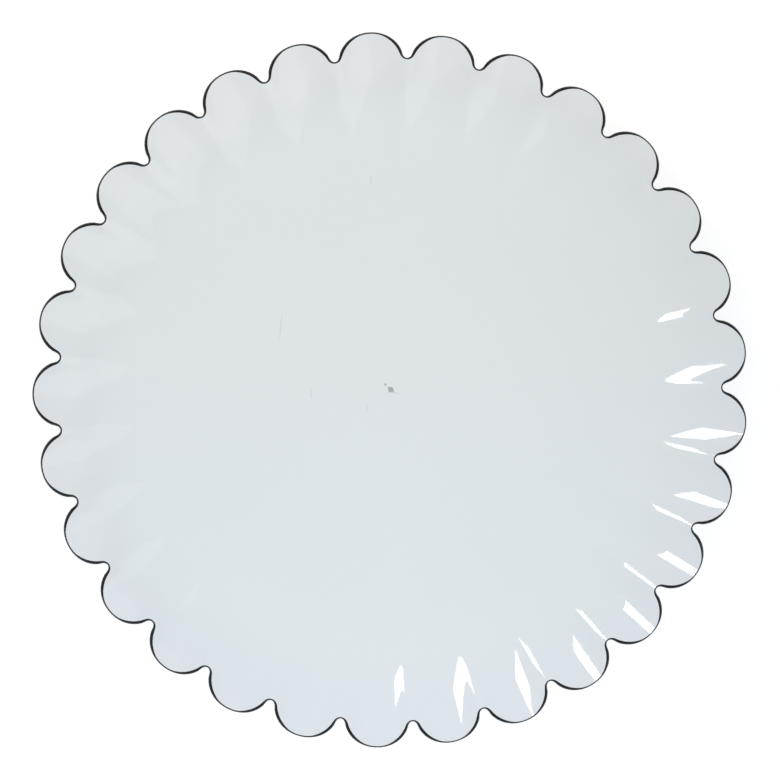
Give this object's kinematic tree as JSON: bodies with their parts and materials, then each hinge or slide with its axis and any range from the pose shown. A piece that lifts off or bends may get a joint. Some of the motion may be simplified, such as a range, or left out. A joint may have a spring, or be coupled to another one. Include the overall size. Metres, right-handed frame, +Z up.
{
  "type": "scalloped dinner plate",
  "caption": "Clear plastic dinner plate with a flat centre and a fluted, petal-scalloped rim, edged with a thin dark line.",
  "frame": {"origin": "centre of the underside, on the surface that the plate rests on", "axes": "+Z up, out of the food side; +X through the tip of a petal"},
  "size_m": [0.2593, 0.2596, 0.0185],
  "materials": {
    "clear_plastic": "clear, polished, faintly blue-grey",
    "dark_edge": "near-black gloss film on the edge"
  },
  "bodies": {
    "root": {"plate_body": "clear_plastic", "edge_line": "dark_edge"}
  },
  "joints": []
}
